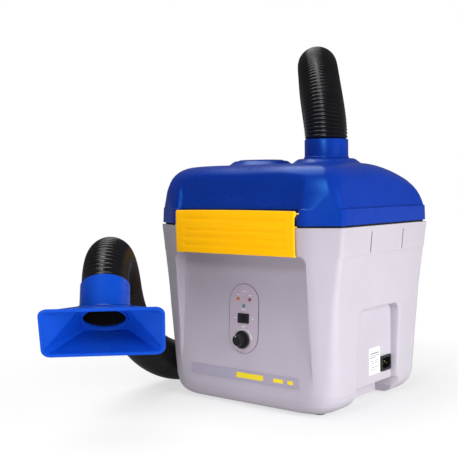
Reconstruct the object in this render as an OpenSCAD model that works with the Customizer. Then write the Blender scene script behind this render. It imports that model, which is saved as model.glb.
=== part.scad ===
// Bench-top solder fume extractor: a moulded cabinet with a lift-off lid, two filters, a blower,
// and one flexible intake duct that ends in a flared nozzle.
// Origin: centre of the cabinet on the bench plane. +X right, -Y front, +Z up. Millimetres.

/* [Cabinet] */
// Half width of the cabinet at its rim
half_w = 177.5; // [170:0.5:185]
// Half depth of the cabinet at its rim
half_d = 160; // [155:0.5:168]
// Height of the cabinet rim above the bench
rim_z = 281; // [278:1:284]
// Height of the shoulder where the thicker top band ends
band_z = 241; // [238:1:244]
// Height of the rubber feet
foot_h = 4; // [3:0.5:5]
// Wall thickness of the cabinet and the lid
wall = 3; // [2.5:0.1:3.5]
// Half width of the front and rear recesses
recess_half_w = 124; // [120:1:126]
// Half width of the notch between the side legs
notch_half_w = 62; // [55:1:66]
// Distance from the centre plane to the notch's inner wall
notch_x = 147; // [144:1:150]

/* [Lid] */
// Bottom of the lid skirt
lid_z = 284; // [284:1:286]
// Top of the skirt ledge
ledge_z = 308.5; // [306:0.5:311]
// Highest point of the lid between the ports
lid_top_z = 377; // [374:1:382]
// Distance of each duct port from the centre
port_x = 65.6; // [62:0.2:70]
// Radius of each duct port's bore
port_r = 31.5; // [30:0.5:32]
// Height of the port bosses
boss_z = 385; // [383:1:388]

/* [Latches] */
// Half width of a latch
latch_half_w = 114.6; // [108:0.2:116]
// Radius of a latch hinge pin
latch_pin_r = 1.5; // [1.2:0.1:1.8]

/* [Duct] */
// Outside radius of the duct over its ribs
duct_r = 34; // [32:0.5:34]
// Inside radius of the duct
duct_bore_r = 30.5; // [28:0.5:31]
// Plan position of the vertical run behind the cabinet
drop_xy = [-116, 270];
// Bend radius over the lid
arch_r = 140; // [120:5:145]
// Bend radius where the free end leaves the bench
rise_r = 206; // [190:2:215]
// Bend radius over the top of the free end
crook_r = 77; // [70:1:84]

/* [Nozzle] */
// Width of the nozzle mouth
mouth_w = 164; // [150:1:180]
// Height of the nozzle mouth
mouth_h = 73.4; // [65:0.5:85]
// Length of the nozzle cuff
cuff_len = 50; // [45:1:55]
// Outside radius of the nozzle cuff
cuff_r = 35.5; // [35:0.1:37]

/* [Controls] */
// Height of the speed knob
knob_z = 105; // [100:1:110]
// Height of the rocker switch
switch_z = 138; // [134:1:142]
// Height of the two upper lamps
lamp_z = 167.5; // [165:0.5:170]
// Height of the power lamp
power_lamp_z = 157.3; // [155:0.5:160]

/* [Blower] */
// Radius of the impeller
impeller_r = 70; // [60:1:74]
// Number of impeller blades
blade_count = 24; // [12:2:36]

/* [Hidden] */
$fn = 64;
far = 500;
gap = 0.2;
// Corner faces: direction of their normal in plan, distance from the centre at the rim, and lean.
corner_turn = 60.8;
corner_reach = half_w * cos(corner_turn) + 130.7 * sin(corner_turn);
corner_lean = 3.9;
lid_corner_lean = -3;
// The recessed front panel leans back by this much for each millimetre of height.
panel_foot = 144;
panel_slope = 0.055;
panel_turn = 90 - atan(panel_slope);
recess_low_z = 34;
recess_high_z = band_z - 2;
floor_z = 10;
rim_flange_w = 14;
rim_flange_h = 5;
notch_top_z = 152;
notch_floor_z = 29;
notch_floor_x = 118;
cover_half = 100;
cover_t = 2.8;
cover_recess_z = foot_h + 3;
cover_screw = 92;
// Latch hinge line, measured from the centre plane and the bench.
latch_pin_y = 157.5;
latch_pin_z = 301.5;
run_clear = 0.05;
// Filter stack
shelf_z = 186;
shelf_t = 3;
filter_w = 286;
filter_d = 226;
main_filter_h = 48;
pre_filter_h = 18;
// Blower
scroll_low_z = 120;
scroll_r = 92;
scroll_wall = 2.5;
outlet_x = 112;
blower_y = 8;
motor_r = 44;
motor_low_z = 66;
shaft_r = 4;
// Electrics
board_posts = [[-60, -70], [60, -70], [-60, -30], [60, -30], [20, 20], [76, 20], [20, 76], [76, 76]];
pin_places = [[-7, -2], [0, 2], [7, -2]];
// Nozzle mouth, from the middle of the throat
mouth_turn = -27.6;
mouth_at = [0, 30.5, 39];
// Duct frames
rib_h = 0.7;
rib_w = 4;
seam = 0.01;
collar_top_z = 416;
duct_start_z = collar_top_z + 1;
arch_angle = atan2(drop_xy[1], drop_xy[0] - port_x);
arch_span = norm([drop_xy[0] - port_x, drop_xy[1]]);
arch_straight = arch_span - 2 * arch_r;
split_z = 398;
drop_bend_r = 85;
// Each duct segment is [straight length, turn about its own axis, bend radius, bend angle].
upper_path = [[0, 0, arch_r, 90], [arch_straight, 0, arch_r, 90], [duct_start_z - split_z - 3, 0, 0, 0]];
lower_path = [[split_z - 3 - duct_r - drop_bend_r, 0, drop_bend_r, 90], [0, -90, 90, 60], [0, 0, 90, 60],
    [124, 180, 120, 28.8], [0, -97, rise_r, 57]];
gap_a = [0, 0, rise_r, 2.4];
link_path = [[0, 0, rise_r, 11.4]];
gap_b = [0, 0, rise_r, 2.8];
crook_angle = 126.3;
crook = [[0, 218.4, crook_r, crook_angle / 2], [0, 0, crook_r, crook_angle / 2]];
arm_path = concat(crook, [[2.6 + cuff_len - 3, 0, 0, 0]]);
to_link = concat(lower_path, [gap_a]);
to_arm = concat(to_link, link_path, [gap_b]);
nozzle_roll = 82.5;
to_nozzle = concat(to_arm, crook, [[2.6 + cuff_len, 0, 0, 0]]);

// ---- shapes that repeat ----

// A point list for the right half of an outline, closed by its mirror image.
function both_sides(p) = concat(p, [for (i = [len(p) - 1:-1:0]) [-p[i][0], p[i][1]]]);
function arc(cx, cz, r, a0, a1, n = 8) =
    [for (i = [0:n]) [cx + r * cos(a0 + (a1 - a0) * i / n), cz + r * sin(a0 + (a1 - a0) * i / n)]];

// Half width and half depth of the cabinet against height, t inside the outer face.
function width_profile(t) = concat(
    arc(130, 32, 28 - t, -90, 0),
    [[160 - t, 85], [164 - t, 175], [168 - t, 205], [172 - t, band_z - 3], [173.1 - t, band_z],
        [half_w - t, rim_z], [half_w - t, rim_z + (t > 0 ? 20 : 0)]]);
function depth_profile(t) = concat(
    arc(119, 26, 22 - t, -90, 0),
    [[142 - t, 60], [148.5 - t, 150], [156 - t, band_z - 3], [157 - t, band_z],
        [half_d - t, rim_z], [half_d - t, rim_z + (t > 0 ? 20 : 0)]]);

// Half width and half depth of the lid against height, t inside the outer face.
function lid_width_profile(t) = concat(
    [[175.5 - t, lid_z - (t > 0 ? 10 : 0)], [176.2 - t, ledge_z - t], [172.5 - t, ledge_z - t]],
    arc(136, lid_top_z - 36, 35 - t, 0, 86),
    [[0, lid_top_z - t]]);
// The front stays high up to its rounded shoulder; the rear falls away from the middle.
function lid_front_profile(t) = concat(
    [[158 - t, lid_z - (t > 0 ? 10 : 0)], [158.6 - t, ledge_z - t], [154.5 - t, ledge_z - t]],
    arc(117, lid_top_z - 38, 35 - t, 0, 86),
    [[60, lid_top_z - 1.5 - t]]);
function lid_rear_profile(t) = concat(
    [[158 - t, lid_z - (t > 0 ? 10 : 0)], [158.6 - t, ledge_z - t], [154.5 - t, ledge_z - t]],
    arc(117, lid_top_z - 62, 35 - t, 0, 71),
    [[90, lid_top_z - 16 - t], [60, lid_top_z - 7.5 - t], [30, lid_top_z - 2.4 - t],
        [0, lid_top_z - t]]);
function lid_depth_outline(t) = let (front = lid_front_profile(t))
    concat(lid_rear_profile(t), [for (i = [len(front) - 1:-1:0]) [-front[i][0], front[i][1]]]);

module rounded_rect(w, h, r) {
    square([w - 2 * r, h], center = true);
    square([w, h - 2 * r], center = true);
    for (x = [-1, 1], y = [-1, 1]) translate([x * (w / 2 - r), y * (h / 2 - r)]) circle(r);
}

module rounded_plate(w, h, r, t) {
    linear_extrude(t) rounded_rect(w, h, r);
}

module tube(r_out, r_in, h) {
    difference() {
        cylinder(r = r_out, h = h);
        translate([0, 0, -1]) cylinder(r = r_in, h = h + 2);
    }
}

// Solid between an outline across and an outline along, with four leaning corner faces cut off.
module cabinet_block(across, along, t, lean) {
    difference() {
        intersection() {
            rotate([90, 0, 0]) linear_extrude(far, center = true) polygon(across);
            rotate([90, 0, 90]) linear_extrude(far, center = true) polygon(along);
        }
        for (x = [0, 1], y = [0, 1]) mirror([x, 0, 0]) mirror([0, y, 0]) rotate([0, 0, corner_turn])
            translate([corner_reach - t, 0, rim_z]) rotate([0, lean, 0])
                translate([0, -far / 2, -far]) cube([far, far, 2 * far]);
    }
}

// Flat ring that follows the cabinet outline, between two insets.
function rim_outline(t) = let (
        side_y = (corner_reach - t - (half_w - t) * cos(corner_turn)) / sin(corner_turn),
        front_x = (corner_reach - t - (half_d - t) * sin(corner_turn)) / cos(corner_turn))
    [[half_w - t, -side_y], [half_w - t, side_y], [front_x, half_d - t], [-front_x, half_d - t],
        [-half_w + t, side_y], [-half_w + t, -side_y], [-front_x, t - half_d], [front_x, t - half_d]];

// Places children on the leaning front panel: local Y runs up the panel, local Z out of it.
module on_panel(z) {
    translate([0, -(panel_foot - panel_slope * z), z]) rotate([panel_turn, 0, 0]) children();
}

// Space in front of the leaning panel, grown by t on every side.
module panel_recess(t) {
    intersection() {
        translate([0, 0, (recess_low_z + recess_high_z) / 2]) rotate([90, 0, 0])
            linear_extrude(far)
                rounded_rect(2 * (recess_half_w + t), recess_high_z - recess_low_z + 2 * t, 12 + t);
        on_panel(0) translate([-far / 2, -far / 2, -t]) cube([far, far, far]);
    }
}

module both_recesses(t) {
    panel_recess(t);
    mirror([0, 1, 0]) panel_recess(t);
}

// Notch between the two legs of one side, grown by t.
module side_notch(t) {
    translate([notch_x - t, 0, (notch_top_z - 60) / 2]) rotate([90, 0, 90])
        linear_extrude(far) rounded_rect(2 * (notch_half_w + t), notch_top_z + 60 + 2 * t, 14 + t);
    translate([notch_floor_x - t, -notch_half_w - t, -60])
        cube([far, 2 * (notch_half_w + t), 60 + notch_floor_z + t]);
}

module both_notches(t) {
    side_notch(t);
    mirror([1, 0, 0]) side_notch(t);
}

module at_four(x, y) {
    for (sx = [-1, 1], sy = [-1, 1]) translate([sx * x, sy * y, 0]) children();
}

// Cap-head screw with its head on top of z = 0 and its shank below.
module screw(shank_r, shank_l, head_r, head_h) {
    cylinder(r = head_r, h = head_h);
    translate([0, 0, -shank_l]) cylinder(r = shank_r, h = shank_l + 0.01);
}

// ---- duct geometry ----

// Moves children to the end of segment s.
module past(s) {
    translate([0, 0, s[0]]) rotate([0, 0, s[1]])
        translate([s[2] * (1 - cos(s[3])), 0, s[2] * sin(s[3])]) rotate([0, s[3], 0]) children();
}

// Moves children to the end of a whole path.
module at_end(path, i = 0) {
    if (i < len(path)) past(path[i]) at_end(path, i + 1) children();
    else children();
}

// A hose of the given radii that follows a path. A rib bridges each pair of segments, which are
// drawn a hair short of each other.
module hose(path, r_out, r_in, i = 0) {
    if (i < len(path)) {
        s = path[i];
        if (s[0] > 0) translate([0, 0, seam]) tube(r_out - rib_h, r_in, s[0] - 2 * seam);
        if (s[3] > 0) translate([0, 0, s[0]]) rotate([0, 0, s[1]]) translate([s[2], 0, 0])
            rotate([90, 0, 0]) rotate([0, 0, 180 - s[3] + seam]) rotate_extrude(angle = s[3] - 2 * seam)
                translate([s[2], 0]) difference() {
                    circle(r_out - rib_h);
                    circle(r_in);
                }
        if (s[0] > 0 && s[3] > 0) translate([0, 0, s[0] - rib_w / 2]) tube(r_out, r_in + 1, rib_w);
        if (i < len(path) - 1) past(s) translate([0, 0, -rib_w / 2]) tube(r_out, r_in + 1, rib_w);
        past(s) hose(path, r_out, r_in, i + 1);
    }
}

module from_collar() {
    translate([port_x, 0, duct_start_z]) rotate([0, 0, arch_angle]) children();
}

module from_drop() {
    translate([drop_xy[0], drop_xy[1], split_z - 3]) rotate([0, 180, 0]) children();
}

// ---- cabinet ----

module body_shell() {
    color("gainsboro") difference() {
        union() {
            difference() {
                cabinet_block(both_sides(width_profile(0)), both_sides(depth_profile(0)), 0,
                    corner_lean);
                both_recesses(0);
                both_notches(0);
                difference() {
                    intersection() {
                        cabinet_block(both_sides(width_profile(wall)), both_sides(depth_profile(wall)),
                            wall, corner_lean);
                        translate([-far / 2, -far / 2, floor_z])
                            cube([far, far, rim_z - rim_flange_h - floor_z]);
                    }
                    both_recesses(wall);
                    both_notches(wall);
                }
                translate([0, 0, rim_z - rim_flange_h - 1]) linear_extrude(20)
                    polygon(rim_outline(rim_flange_w));
            }
            at_four(cover_screw, cover_screw) translate([0, 0, floor_z - 1]) cylinder(r = 6, h = 12);
            shelf_posts();
        }
        translate([-cover_half, -cover_half, foot_h - 1])
            cube([2 * cover_half, 2 * cover_half, cover_recess_z - foot_h + 1]);
        translate([-84, -84, 0]) cube([168, 168, floor_z + 1]);
        at_four(cover_screw, cover_screw) cylinder(r = 1.6, h = floor_z + 9);
        on_panel(switch_z) translate([-9.5, -6.5, -10]) cube([19, 13, 20]);
        on_panel(knob_z) translate([0, 0, -10]) cylinder(r = 3.6, h = 20);
        for (x = [-11.2, 11.2]) on_panel(lamp_z) translate([x, 0, -10]) cylinder(r = 2.6, h = 20);
        on_panel(power_lamp_z) translate([0, 0, -10]) cylinder(r = 2.6, h = 20);
        translate([notch_x - 20, 42.5 - 13.8, 56.5 - 10.3]) cube([40, 27.6, 20.6]);
        translate([-notch_x - 20, -47, 48]) cube([40, 94, 88]);
        for (x = [0, 1], y = [-49.3, 49.3]) mirror([x, 0, 0]) translate([170, y - 1, band_z])
            cube([20, 2, 32]);
    }
}

// Posts that carry the filter shelf, standing on the cabinet floor.
module shelf_posts() {
    for (x = [-105, 105], y = [-112, 112]) translate([x, y, floor_z - 1])
        cylinder(r = 5, h = shelf_z - floor_z + 1 - gap);
}

module base_cover() {
    color("darkgray") difference() {
        union() {
            translate([-cover_half + 0.5, -cover_half + 0.5, foot_h + 0.1])
                cube([2 * cover_half - 1, 2 * cover_half - 1, cover_t]);
            for (p = board_posts) translate([p[0], p[1], foot_h + 2]) cylinder(r = 3.5, h = 13);
        }
        at_four(cover_screw, cover_screw) cylinder(r = 1.9, h = 20);
        at_four(cover_screw, cover_screw) translate([0, 0, foot_h]) cylinder(r = 3.4, h = 1.4);
        for (p = board_posts) translate([p[0], p[1], foot_h + 6]) cylinder(r = 1.3, h = 13);
    }
}

module base_screws() {
    color("silver") at_four(cover_screw, cover_screw) translate([0, 0, foot_h + 1.2]) mirror([0, 0, 1])
        screw(1.5, 12, 3.1, 1);
}

module rubber_feet() {
    color("dimgray") {
        at_four(116, 104) cylinder(r1 = 9, r2 = 10, h = foot_h);
        cylinder(r1 = 9, r2 = 10, h = foot_h + 0.1);
    }
}

// ---- lid ----

// Round swelling under a port, steep next to the port and fading into the lid.
module port_boss() {
    rotate_extrude() polygon([[0, boss_z - 40], [84, boss_z - 40], [84, boss_z - 24],
        [68, boss_z - 12], [57, boss_z - 8], [51, boss_z - 2.5], [46, boss_z], [0, boss_z]]);
}

module lid_scoop() {
    translate([0, -half_d - 62, ledge_z + 28]) rotate([0, 90, 0])
        cylinder(r = 76, h = 2 * latch_half_w + 4, center = true);
}

// Each end of the lid above its ledge is one flat face that leans in, here t inside the outer one.
module lid_end_faces(t) {
    for (x = [0, 1]) mirror([x, 0, 0]) translate([171.7 - t, 0, ledge_z + 0.5 - 2 * t])
        rotate([0, -9, 0]) translate([0, -far / 2, 0]) cube([far, far, 200]);
}

module latch_pocket() {
    translate([-latch_half_w - 1, -half_d - 10, lid_z - 1]) cube([2 * latch_half_w + 2, 13.6, 30]);
    translate([0, -latch_pin_y, latch_pin_z]) rotate([0, 90, 0])
        cylinder(r = 9, h = 2 * latch_half_w + 2, center = true);
}

module lid_shell() {
    color("royalblue") difference() {
        union() {
            difference() {
                union() {
                    cabinet_block(both_sides(lid_width_profile(0)), lid_depth_outline(0), 1,
                        lid_corner_lean);
                    for (x = [-1, 1]) translate([x * port_x, 0, 0]) port_boss();
                }
                difference() {
                    cabinet_block(both_sides(lid_width_profile(wall)), lid_depth_outline(wall),
                        wall + 1, lid_corner_lean);
                    for (y = [0, 1]) mirror([0, y, 0]) {
                        translate([0, -half_d + 5, ledge_z + 12])
                            cube([2 * latch_half_w + 12, 34, 84], center = true);
                    }
                    lid_end_faces(wall);
                    for (x = [-1, 1]) translate([x * port_x, 0, lid_top_z - 20])
                        cylinder(r = port_r + 3, h = 40);
                }
            }
        }
        for (y = [0, 1]) mirror([0, y, 0]) {
            latch_pocket();
            lid_scoop();
        }
        lid_end_faces(0);
        for (x = [-1, 1]) translate([x * port_x, 0, lid_top_z - 40]) cylinder(r = port_r, h = 60);
        for (x = [-1, 1], y = [0, 1]) mirror([0, y, 0])
            translate([x * (latch_half_w + 1), -latch_pin_y, latch_pin_z]) rotate([0, 90, 0])
                cylinder(r = latch_pin_r, h = 9, center = true);
    }
}

module lid_gasket() {
    color("black") translate([0, 0, rim_z + gap]) linear_extrude(lid_z - rim_z - 2 * gap) difference() {
        polygon(rim_outline(6));
        polygon(rim_outline(12));
    }
}

// A latch in front of the cabinet, hinged at its top edge.
module latch() {
    difference() {
        union() {
            translate([-latch_half_w, 0, 0]) rotate([90, 0, 90]) linear_extrude(2 * latch_half_w) polygon([
                [-latch_pin_y - 4, 305.3], [-half_d - 3, 305.6], [-half_d - 4.6, 300],
                [-half_d - 4.9, rim_z],
                [-half_d - 3.6, band_z - 1], [-half_d - 0.5, band_z - 2.5], [-half_d - 0.5, band_z + 0.3],
                [-half_d - 1.4, band_z + 2], [-half_d - 2.3, rim_z], [-half_d - 2.1, 297],
                [-latch_pin_y - 2, 298.4], [-latch_pin_y, 298]]);
            translate([0, -latch_pin_y, latch_pin_z]) rotate([0, 90, 0])
                cylinder(r = 3.8, h = 2 * latch_half_w, center = true);
            for (x = [-1, 1]) translate([x * (latch_half_w + 1) - 2, -half_d - 3, rim_z + 0.7])
                cube([4, 3.5, 1.8]);
        }
        translate([0, -latch_pin_y, latch_pin_z]) rotate([0, 90, 0])
            cylinder(r = latch_pin_r + run_clear, h = 2 * latch_half_w + 2, center = true);
        for (z = [250, 262, 274, 291]) translate([0, -half_d - 6.3, z])
            cube([2 * latch_half_w - 36, 4, 4], center = true);
    }
}

module front_latch() {
    color("gold") latch();
}

module rear_latch() {
    color("gold") mirror([0, 1, 0]) latch();
}

module latch_pins() {
    color("silver") for (y = [-1, 1]) translate([0, y * latch_pin_y, latch_pin_z]) rotate([0, 90, 0])
        cylinder(r = latch_pin_r, h = 2 * latch_half_w + 10, center = true);
}

module duct_collar() {
    color("royalblue") translate([port_x, 0, 0]) difference() {
        union() {
            translate([0, 0, lid_top_z - 10]) cylinder(r = port_r - run_clear, h = 20);
            translate([0, 0, boss_z + gap]) cylinder(r = 35, h = collar_top_z - boss_z - gap);
        }
        translate([0, 0, 300]) cylinder(r = 28.5, h = 200);
    }
}

module port_cap() {
    color("royalblue") translate([-port_x, 0, 0]) difference() {
        union() {
            translate([0, 0, boss_z - 12]) cylinder(r = port_r - 0.1, h = 13);
            translate([0, 0, boss_z + gap]) cylinder(r1 = 38, r2 = 37, h = 1.2);
        }
        translate([0, 0, boss_z - 13]) cylinder(r = port_r - 3, h = 12);
    }
}

// ---- duct ----

module duct_upper() {
    color("#151515") from_collar() hose(upper_path, duct_r, duct_bore_r);
}

module duct_lower() {
    color("#151515") from_drop() hose(lower_path, duct_r, duct_bore_r);
}

module duct_link() {
    color("#151515") from_drop() at_end(to_link) hose(link_path, duct_r, duct_bore_r);
}

module duct_arm() {
    color("#151515") from_drop() at_end(to_arm) hose(arm_path, duct_r, duct_bore_r);
}

module nozzle_mouth(w, h, r, z, t) {
    translate(mouth_at) rotate([mouth_turn, 0, 0]) translate([0, 0, z]) rounded_plate(w, h, r, t);
}

module nozzle() {
    color("mediumblue") from_drop() at_end(to_nozzle) rotate([0, 0, nozzle_roll]) difference() {
        union() {
            translate([0, 0, -cuff_len]) cylinder(r = cuff_r, h = cuff_len + 1);
            hull() {
                linear_extrude(1) square(2 * cuff_r, center = true);
                nozzle_mouth(mouth_w, mouth_h, 10, 0, 1, $fn = 32);
            }
            nozzle_mouth(mouth_w + 5, mouth_h + 5, 12, -1, 2.5);
        }
        translate([0, 0, -cuff_len - 1]) cylinder(r = duct_r - rib_h + run_clear, h = cuff_len - 1);
        translate([0, 0, -10]) cylinder(r = duct_bore_r, h = 20);
        hull() {
            translate([0, 0, 2]) linear_extrude(1) square(2 * cuff_r - 5, center = true);
            nozzle_mouth(mouth_w - 5, mouth_h - 5, 8, 2, 6, $fn = 32);
        }
    }
}

// ---- controls ----

module panel_overlay() {
    color("lavender") difference() {
        on_panel(137.5) rounded_plate(56, 107, 27.9, 0.8);
        on_panel(switch_z) translate([-9.5, -6.5, -1]) cube([19, 13, 4]);
        on_panel(knob_z) translate([0, 0, -1]) cylinder(r = 3.6, h = 4);
        for (x = [-11.2, 11.2]) on_panel(lamp_z) translate([x, 0, -1]) cylinder(r = 2.6, h = 4);
        on_panel(power_lamp_z) translate([0, 0, -1]) cylinder(r = 2.6, h = 4);
    }
}

module lamp() {
    translate([0, 0, -5]) cylinder(r = 2.5, h = 6);
    translate([0, 0, 1]) intersection() {
        sphere(r = 2.5);
        cylinder(r = 2.5, h = 3);
    }
}

module filter_lamp() {
    color("orange") on_panel(lamp_z) translate([-11.2, 0, 0]) lamp();
}

module alarm_lamp() {
    color("red") on_panel(lamp_z) translate([11.2, 0, 0]) lamp();
}

module power_lamp() {
    color("green") on_panel(power_lamp_z) lamp();
}

module switch_housing() {
    color("black") on_panel(switch_z) difference() {
        union() {
            translate([0, 0, 0.9]) rounded_plate(21, 15, 1, 1.9);
            translate([-9.3, -6.3, -15]) cube([18.6, 12.6, 16]);
        }
        translate([-8.5, -5.5, -7]) cube([17, 11, 12]);
        translate([0, 0, -1]) rotate([90, 0, 0]) cylinder(r = 1.05, h = 20, center = true);
    }
}

module switch_rocker() {
    color("#202020") on_panel(switch_z) translate([0, 0, -1]) rotate([0, 8, 0]) {
        rotate([90, 0, 0]) linear_extrude(10.6, center = true)
            polygon([[-7.6, 1.5], [-7.6, 4.6], [0, 3.2], [7.6, 4.6], [7.6, 1.5], [4, -2.5], [-4, -2.5]]);
        rotate([90, 0, 0]) cylinder(r = 1, h = 12, center = true);
    }
}

module speed_knob() {
    color("black") on_panel(knob_z) difference() {
        union() {
            translate([0, 0, 3.6]) cylinder(r = 14, h = 2.2);
            translate([0, 0, 5.7]) cylinder(r1 = 9.6, r2 = 8.6, h = 12);
            for (a = [0:30:330]) rotate([0, 0, a]) translate([9, 0, 5.7]) cylinder(r = 0.9, h = 11);
        }
        translate([0, 0, 3]) cylinder(r = 3.02, h = 12);
        translate([0, 0, 3]) cylinder(r = 7, h = 2);
    }
}

module pot_body() {
    color("slategray") on_panel(knob_z) difference() {
        union() {
            translate([0, 0, -14]) cylinder(r = 12, h = 10.8);
            translate([0, 0, -4]) cylinder(r = 3.5, h = 7.4);
        }
        translate([0, 0, -12]) cylinder(r = 3.05, h = 20);
    }
}

module pot_shaft() {
    color("silver") on_panel(knob_z) translate([0, 0, -11.5]) cylinder(r = 3, h = 26);
}

module pot_nut() {
    color("silver") on_panel(knob_z) translate([0, 0, 0.9]) difference() {
        cylinder(r = 6, h = 1.8, $fn = 6);
        translate([0, 0, -1]) cylinder(r = 3.52, h = 4, $fn = 64);
    }
}

module mains_inlet() {
    color("black") translate([notch_x, 42.5, 56.5]) rotate([90, 0, 90]) difference() {
        union() {
            rounded_plate(31.5, 25, 2.5, 2.4);
            translate([-13.5, -10, -24]) cube([27, 20, 24.5]);
        }
        difference() {
            translate([0, 0, -15]) rounded_plate(24.6, 17, 1.5, 20);
            for (x = [-1, 1]) translate([x * 12.6, -8.9, -1]) rotate([0, 0, 45])
                cube([7, 7, 40], center = true);
        }
        for (p = pin_places) translate([p[0] - 2, p[1] - 1, -26]) cube([4, 2, 14]);
    }
}

module inlet_pins() {
    color("gold") translate([notch_x, 42.5, 56.5]) rotate([90, 0, 90])
        for (p = pin_places) translate([p[0] - 1.95, p[1] - 0.95, -32]) cube([3.9, 1.9, 31]);
}

module rating_label() {
    color("white") translate([notch_x + 0.02, 8, 65]) rotate([90, 0, 90]) rounded_plate(34, 42, 2, 0.4);
}

module front_strip() {
    color("thistle") on_panel(49.7) translate([0, 0, 0.02]) rounded_plate(211, 16.9, 1.5, 0.6);
}

// ---- filters ----

module filter_shelf() {
    color("silver") difference() {
        union() {
            translate([0, 0, shelf_z]) rounded_plate(300, 244, 18, shelf_t);
            translate([0, blower_y, shelf_z - 3.8]) cylinder(r = 58, h = 4);
        }
        translate([0, blower_y, shelf_z - 10]) cylinder(r = 52, h = 20);
        for (a = [45:90:315]) translate([0, blower_y, shelf_z - 5]) rotate([0, 0, a])
            translate([scroll_r - 8, 0, 0]) cylinder(r = 2.2, h = 20);
    }
}

module frame_ring(w, d, border, t) {
    linear_extrude(t) difference() {
        rounded_rect(w, d, 4);
        rounded_rect(w - 2 * border, d - 2 * border, 3);
    }
}

module filter_gasket() {
    color("black") translate([0, 0, shelf_z + shelf_t + 0.05])
        frame_ring(filter_w - 6, filter_d - 6, 10, 2.4);
}

module main_filter_frame() {
    color("white") translate([0, 0, shelf_z + shelf_t + 2.6])
        frame_ring(filter_w, filter_d, 6, main_filter_h);
}

module main_filter_media() {
    pitch = 9;
    count = floor((filter_w - 20) / pitch);
    color("ivory") translate([0, 0, shelf_z + shelf_t + 4]) rotate([90, 0, 0])
        linear_extrude(filter_d - 13, center = true) polygon(concat(
            [for (i = [0:count]) [-filter_w / 2 + 8 + i * pitch, i % 2 == 0 ? 0 : main_filter_h - 8]],
            [for (i = [count:-1:0])
                [-filter_w / 2 + 8 + i * pitch, (i % 2 == 0 ? 0 : main_filter_h - 8) + 5]]));
}

module pre_filter() {
    color("dimgray") translate([0, 0, shelf_z + shelf_t + main_filter_h + 4])
        rounded_plate(filter_w - 2, filter_d - 2, 4, pre_filter_h);
}

// ---- blower ----

// Plan of the scroll: a round chamber with a straight outlet to the left.
module scroll_plan(t) {
    circle(scroll_r - t);
    translate([-outlet_x, -scroll_r + t]) square([outlet_x, 74 - 2 * t]);
}

module blower_scroll() {
    color("whitesmoke") translate([0, blower_y, 0]) difference() {
        translate([0, 0, scroll_low_z]) linear_extrude(shelf_z - 4 - scroll_low_z) scroll_plan(0);
        translate([0, 0, scroll_low_z + scroll_wall])
            linear_extrude(shelf_z - 4 - scroll_low_z - 2 * scroll_wall) union() {
                scroll_plan(scroll_wall);
                translate([-outlet_x - 8, -scroll_r + scroll_wall]) square([60, 74 - 2 * scroll_wall]);
            }
        translate([0, 0, scroll_low_z - 1]) cylinder(r = 9, h = 20);
        translate([0, 0, shelf_z - 20]) cylinder(r = 54, h = 30);
        for (a = [0:90:270]) rotate([0, 0, a]) translate([30, 0, scroll_low_z - 1])
            cylinder(r = 2.2, h = 6);
        for (a = [45:90:315]) rotate([0, 0, a]) translate([scroll_r - 8, 0, shelf_z - 10])
            cylinder(r = 2.2, h = 20);
    }
}

module blower_screws() {
    color("silver") translate([0, blower_y, shelf_z - 4 - scroll_wall - 0.05])
        for (a = [45:90:315]) rotate([0, 0, a]) translate([scroll_r - 8, 0, 0]) mirror([0, 0, 1])
            screw(2, 9.2, 3.5, 2.4);
}

module impeller() {
    color("dimgray") translate([0, blower_y, scroll_low_z + 7]) difference() {
        union() {
            cylinder(r = impeller_r, h = 2.4);
            cylinder(r = 14, h = 14);
            translate([0, 0, 42]) tube(impeller_r, impeller_r - 14, 2.4);
            for (i = [0:blade_count - 1]) rotate([0, 0, i * 360 / blade_count])
                translate([impeller_r - 8, 0, 2]) rotate([0, 0, 35]) translate([-6, -0.7, 0])
                    cube([12, 1.4, 41]);
        }
        translate([0, 0, -1]) cylinder(r = shaft_r, h = 20);
    }
}

module motor_shaft() {
    color("silver") translate([0, blower_y, motor_low_z - 6]) cylinder(r = shaft_r, h = 76);
}

module motor() {
    color("gray") translate([0, blower_y, motor_low_z]) difference() {
        union() {
            cylinder(r = motor_r, h = 44);
            translate([0, 0, 44]) cylinder(r = 36, h = scroll_low_z - motor_low_z - 44 - 0.05);
        }
        translate([0, 0, -1]) cylinder(r = shaft_r + run_clear, h = 80);
        for (a = [0:90:270]) rotate([0, 0, a]) translate([30, 0, 40]) cylinder(r = 1.6, h = 30);
        for (a = [0:20:340]) rotate([0, 0, a]) translate([motor_r, 0, 6]) cylinder(r = 1.5, h = 32);
    }
}

module motor_screws() {
    color("silver") translate([0, blower_y, scroll_low_z + scroll_wall + 0.05])
        for (a = [0:90:270]) rotate([0, 0, a]) translate([30, 0, 0]) screw(1.5, 11, 3, 2.2);
}

// ---- electrics ----

module control_board() {
    color("darkgreen") translate([0, 0, foot_h + 15.05]) difference() {
        union() {
            translate([-66, -76, 0]) cube([132, 52, 1.6]);
            translate([-40, -66, 1.5]) cube([26, 18, 12]);
            translate([10, -60, 1.5]) cylinder(r = 7, h = 18);
            translate([30, -60, 1.5]) cylinder(r = 5, h = 14);
            translate([-8, -45, 1.5]) cube([14, 10, 4]);
        }
        for (p = [for (i = [0:3]) board_posts[i]]) translate([p[0], p[1], -1]) cylinder(r = 1.7, h = 4);
    }
}

module power_supply() {
    color("silver") translate([0, 0, foot_h + 15.05]) difference() {
        union() {
            translate([12, 12, 0]) cube([72, 72, 1.6]);
            translate([24, 26, 1.5]) cube([48, 44, 30]);
        }
        for (p = [for (i = [4:7]) board_posts[i]]) translate([p[0], p[1], -1]) cylinder(r = 1.7, h = 4);
    }
}

module board_screws() {
    color("silver") for (p = board_posts) translate([p[0], p[1], foot_h + 16.7]) screw(1.2, 8, 2.6, 1.8);
}

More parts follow.
